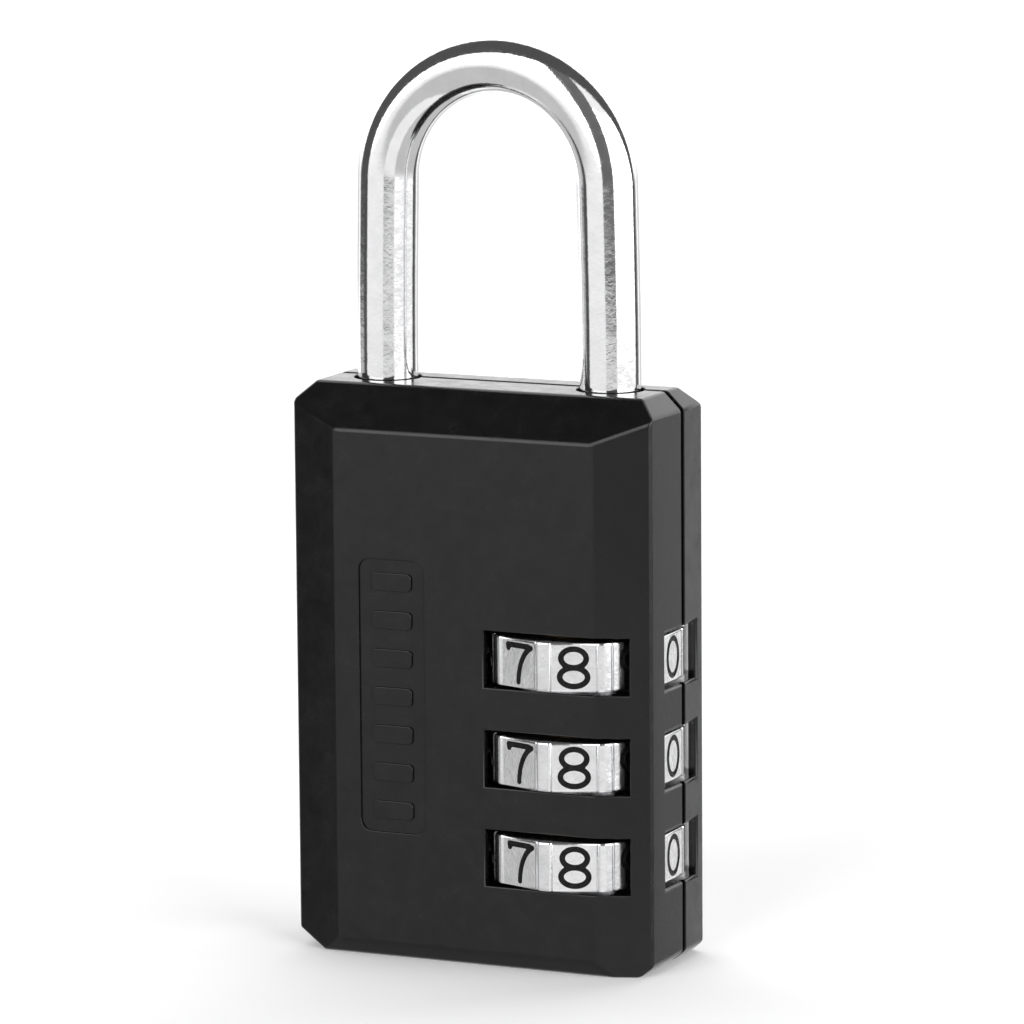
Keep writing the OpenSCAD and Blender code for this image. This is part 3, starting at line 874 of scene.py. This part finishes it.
def build_dial(node, body):
    """A dial with its facets engraved, and the paint that fills the numbers."""
    centre = DIAL_POS[node]
    outline = sector_outline()
    h = DIAL_H / 2
    levels = [-h, -h + 0.02, -h + 0.05, -h + 0.1, -FACE_HALF_H, FACE_HALF_H, h - 0.1, h - 0.05, h - 0.02, h]
    flat_level = levels.index(-FACE_HALF_H)
    bm, paint = bmesh.new(), bmesh.new()
    rings = []
    for z in levels:
        ring = []
        for s in range(FACET_COUNT):
            for a, r in outline[:-1]:
                r -= rim_inset(z, r)
                t = s * SECTOR + a
                ring.append(bm.verts.new((centre.x + r * math.cos(t), r * math.sin(t), centre.z + z)))
        rings.append(ring)
    per = len(outline) - 1
    flat_at = per // 2
    count = len(rings[0])
    for level, (one, two) in enumerate(zip(rings, rings[1:])):
        for k in range(count):
            if level == flat_level and k % per == flat_at:
                continue
            bm.faces.new((one[k], one[(k + 1) % count], two[(k + 1) % count], two[k]))
    # The bore, with a notch behind each facet for the sleeve's splines.
    bores = []
    for z in (-h, h):
        bore = []
        for s in range(FACET_COUNT):
            for a, _ in outline[:-1]:
                r = NOTCH_R if abs(NOTCH_R * math.sin(a)) < NOTCH_W / 2 + 0.5 else BORE_R
                t = s * SECTOR + a
                bore.append(bm.verts.new((centre.x + r * math.cos(t), r * math.sin(t), centre.z + z)))
        bores.append(bore)
    for k in range(count):
        m = (k + 1) % count
        bm.faces.new((bores[0][k], bores[1][k], bores[1][m], bores[0][m]))
        bm.faces.new((rings[0][k], bores[0][k], bores[0][m], rings[0][m]))
        bm.faces.new((rings[-1][m], bores[1][m], bores[1][k], rings[-1][k]))
    for digit in range(FACET_COUNT):
        outside, inside, edges = FACETS[digit]
        turn = Matrix.Translation(centre) @ Matrix.Rotation(digit * SECTOR, 4, "Z")

        def place(target, cache, key, point, depth):
            if (key, depth) not in cache:
                cache[key, depth] = target.verts.new(turn @ Vector((FACET_R - depth, point[0], point[1])))
            return cache[key, depth]

        skin, fill = {}, {}
        for polygon in outside:
            bm.faces.new([place(bm, skin, k, p, 0) for k, p in polygon])
        for polygon in inside:
            bm.faces.new([place(bm, skin, k, p, CUT_DEPTH) for k, p in polygon])
            paint.faces.new([place(paint, fill, k, p, PAINT_DEPTH) for k, p in polygon])
            paint.faces.new([place(paint, fill, k, p, CUT_DEPTH) for k, p in reversed(polygon)])
        for (ka, pa), (kb, pb) in edges:
            bm.faces.new((place(bm, skin, ka, pa, 0), place(bm, skin, kb, pb, 0),
                          place(bm, skin, kb, pb, CUT_DEPTH), place(bm, skin, ka, pa, CUT_DEPTH)))
            paint.faces.new((place(paint, fill, ka, pa, PAINT_DEPTH), place(paint, fill, kb, pb, PAINT_DEPTH),
                             place(paint, fill, kb, pb, CUT_DEPTH), place(paint, fill, ka, pa, CUT_DEPTH)))
    bmesh.ops.remove_doubles(bm, verts=bm.verts[:], dist=0.0005)
    dial = to_metres(make_object(node + "_ring", bm))
    shade(dial, 22)
    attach(dial, body)
    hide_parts(node)
    dial.data.materials.append(DIAL_CHROME)
    numbers = to_metres(make_object(node + "_numbers", paint))
    shade(numbers, 30)
    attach(numbers, body)
    numbers.data.materials.append(NUMBER_PAINT)


# ---- the object ----

PAINT = case_paint()
SHACKLE_CHROME = chrome("shackle_chrome", (0.95, 0.95, 0.96), 0.18, 0.55, 0.05)
DIAL_CHROME = chrome("dial_chrome", (0.93, 0.93, 0.94), 0.25, 0.90, 0.14)
NUMBER_PAINT = number_paint()
BRASS = plain_metal("turned_brass", (0.50, 0.34, 0.12), (0.80, 0.60, 0.28), 0.25, (1, 1, 6))
# Brass darkened to near black: painted shade, so the sleeves that show through the gaps above the dials read
# as the shadow inside the slots.
SHADED_BRASS = plain_metal("brass_painted_shade", (0.05, 0.035, 0.015), (0.12, 0.085, 0.04), 0.45, (1, 1, 6))
STEEL = plain_metal("pin_steel", (0.34, 0.34, 0.35), (0.60, 0.60, 0.62), 0.28, (4, 4, 1))
SPRING_STEEL = plain_metal("spring_steel", (0.42, 0.42, 0.44), (0.70, 0.70, 0.72), 0.2, (1, 1, 1))
RAW_ZINC = plain_metal(
    "raw_zinc", (0.26, 0.26, 0.26), (0.48, 0.48, 0.47), 0.5, (1, 1, 1), size=0.8, strength=0.5)

cutters = slot_cutters() + room_cutters()
panel = panel_cutters()
seam = seam_cutter()
case_half("case_rear", "rear_shell", 1, cutters + seam)
case_half("case_front", "front_shell", -1, cutters + panel)
clear_cutters(cutters + panel + seam)
build_shackle()
build_lift_spring()
for node, joint in DIAL_JOINTS.items():
    build_dial(node, joints[joint]["child"])

CAD_MATERIALS = {
    "case_pins": STEEL, "heel_pin": STEEL, "spindle_guide_pin": STEEL, "spring_guide_pin": STEEL,
    # The sleeves take the darkened brass, whose colour is painted shade.
    "detent_rivets": STEEL, "lift_block": RAW_ZINC, "spindle": BRASS, "sleeve_top": SHADED_BRASS,
    "sleeve_middle": SHADED_BRASS, "sleeve_bottom": SHADED_BRASS, "dial_washers": SPRING_STEEL,
    "detent_spring": SPRING_STEEL, "spring_washer": SPRING_STEEL,
}
for node, material in CAD_MATERIALS.items():
    ob = frame["nodes"][node]
    ob.data.materials.clear()
    ob.data.materials.append(material)


# ---- floor, light and camera ----


def floor_material():
    s = Shader("floor_card")
    s.link(s.colours(s.noise(60, detail=3), [(0.3, (0.86, 0.86, 0.86)), (0.7, (0.9, 0.9, 0.9))]),
           s.bsdf.inputs["Base Color"])
    s.set(Roughness=0.9, Specular_IOR_Level=0.1, Emission_Color=(1, 1, 1, 1), Emission_Strength=0.10)
    return s.mat


def build_floor():
    bm = bmesh.new()
    bmesh.ops.create_circle(bm, cap_ends=True, segments=96, radius=6)
    floor = make_object("floor", bm)
    floor.data.materials.append(floor_material())
    floor.visible_glossy = False


# The studio's light. GAP_LEFT and GAP_RIGHT bound the dim gap between the two boxes, as sideways
# over forward. TABLE_Z is where the light of the table starts, and SIDE_DIM where it dims at the
# back. The rest are brightnesses.
GAP_LEFT = -0.31
GAP_RIGHT = 0.45
GAP_TABLE = 0.88
GAP_DARK = 0.08
LEFT_BOX = 3.0
RIGHT_BOX = 4.5
BACK_WALL = 2.1
SIDE_DIM = -0.644
TABLE_Z = (-0.130, -0.124)
SOFT_EDGE = 0.04
BASE_LIGHT = 0.10


def build_world():
    """Two bright boxes in front of the object, with the dim gap where the camera stands between
    them, a bright wall behind it, and dark gaps at the sides and overhead. The camera itself sees
    a plain white."""
    world = bpy.data.worlds.new("studio")
    bpy.context.scene.world = world
    world.use_nodes = True
    tree = world.node_tree
    for n in list(tree.nodes):
        tree.nodes.remove(n)

    def add(kind, **settings):
        node = tree.nodes.new(kind)
        for key, value in settings.items():
            setattr(node, key, value)
        return node

    def feed(socket, value):
        if hasattr(value, "is_linked"):
            tree.links.new(value, socket)
        else:
            socket.default_value = value

    def sums(operation, a, b=0.0):
        node = add("ShaderNodeMath", operation=operation)
        feed(node.inputs[0], a)
        feed(node.inputs[1], b)
        return node.outputs[0]

    def dot(direction):
        node = add("ShaderNodeVectorMath", operation="DOT_PRODUCT")
        feed(node.inputs[0], ray)
        node.inputs[1].default_value = direction
        return node.outputs["Value"]

    def step(value, low, high, out_low=0.0, out_high=1.0):
        node = add("ShaderNodeMapRange", interpolation_type="SMOOTHSTEP", clamp=True)
        feed(node.inputs["Value"], value)
        for key, number in (("From Min", low), ("From Max", high), ("To Min", out_low), ("To Max", out_high)):
            node.inputs[key].default_value = number
        return node.outputs["Result"]

    ray = add("ShaderNodeTexCoord").outputs["Generated"]
    az = math.radians(VIEW_AZ)
    towards = Vector((math.sin(az), -math.cos(az), 0))
    right = Vector((math.cos(az), math.sin(az), 0))
    s, r, z = dot(towards), dot(right), dot(Vector((0, 0, 1)))
    side = sums("DIVIDE", r, sums("MAXIMUM", s, 0.05))
    edge = SOFT_EDGE
    front_edge = sums("ADD", sums("ADD", sums("MULTIPLY", r, -0.205), sums("MULTIPLY", z, 0.63)), -0.03)
    back_edge = sums("ADD", sums("ADD", sums("MULTIPLY", r, 0.03), sums("MULTIPLY", z, 0.3)), -0.5)
    front = step(sums("SUBTRACT", s, front_edge), -edge, edge)
    back = step(sums("SUBTRACT", s, back_edge), edge, -edge)
    # Bright boxes to the left and right of the camera, a dim gap between them, and the table below.
    left_box = sums("MULTIPLY", step(side, GAP_LEFT + edge, GAP_LEFT - edge), step(z, -0.05, 0.08))
    right_box = sums("MULTIPLY", step(side, GAP_RIGHT - edge, GAP_RIGHT + edge),
                     sums("MULTIPLY", step(z, -0.15, -0.04), step(z, 0.62, 0.52)))
    gap = sums("MULTIPLY", step(side, GAP_LEFT - edge, GAP_LEFT + edge),
               step(side, GAP_RIGHT + edge, GAP_RIGHT - edge))
    table = step(z, -0.26, -0.10, 0.60, 1.08)
    near_table = step(z, -0.20, -0.15, 1.05, GAP_TABLE)
    gap_light = sums("ADD", step(z, *TABLE_Z, 0.0, GAP_DARK),
                     sums("MULTIPLY", step(z, *TABLE_Z, 1.0, 0.0), near_table))
    base = sums("ADD", sums("MULTIPLY", gap, gap_light), sums("MULTIPLY", sums("SUBTRACT", 1.0, gap), table))
    boxes = sums("ADD", sums("MULTIPLY", left_box, LEFT_BOX), sums("MULTIPLY", right_box, RIGHT_BOX))
    front_light = sums("MULTIPLY", front, sums("ADD", base, boxes))
    back_table = sums("SUBTRACT", step(s, SIDE_DIM - 0.03, SIDE_DIM + 0.03, 1.35, 0.2),
                      step(s, -0.72, -0.80, 0.0, 0.55))
    back_rise = sums("SUBTRACT", BACK_WALL, back_table)
    back_level = sums("ADD", back_table, sums("MULTIPLY", step(z, -0.12, 0.08), back_rise))
    back_light = sums("MULTIPLY", back, back_level)
    left_low = sums("MULTIPLY", step(r, 0.2, -0.2), step(z, -0.12, -0.14, 0.0, 0.6))
    left_fill = sums("MULTIPLY", left_low, step(s, -0.12, -0.30))
    total = sums("ADD", sums("ADD", front_light, back_light), sums("ADD", left_fill, BASE_LIGHT))
    seen = add("ShaderNodeLightPath").outputs["Is Camera Ray"]
    final = sums("MAXIMUM", total, seen)
    ground = add("ShaderNodeBackground")
    tree.links.new(final, ground.inputs["Strength"])
    out = add("ShaderNodeOutputWorld")
    tree.links.new(ground.outputs[0], out.inputs["Surface"])


def build_camera():
    cam = bpy.data.cameras.new("camera")
    cam.lens = VIEW_LENS
    cam.sensor_width = 36
    cam.clip_start, cam.clip_end = 0.02, 30
    ob = bpy.data.objects.new("camera", cam)
    bpy.context.scene.collection.objects.link(ob)
    az, el = math.radians(VIEW_AZ), math.radians(VIEW_EL)
    back = Vector((math.sin(az) * math.cos(el), -math.cos(az) * math.cos(el), math.sin(el)))
    ob.location = (VIEW_AIM + VIEW_DISTANCE * back) * MM
    ob.rotation_mode = "QUATERNION"
    level = (-back).to_track_quat("-Z", "Y")
    ob.rotation_quaternion = level @ Matrix.Rotation(-math.radians(VIEW_ROLL), 3, "Z").to_quaternion()
    bpy.context.scene.camera = ob


build_floor()
build_world()
build_camera()
bpy.context.scene.view_settings.view_transform = "Standard"
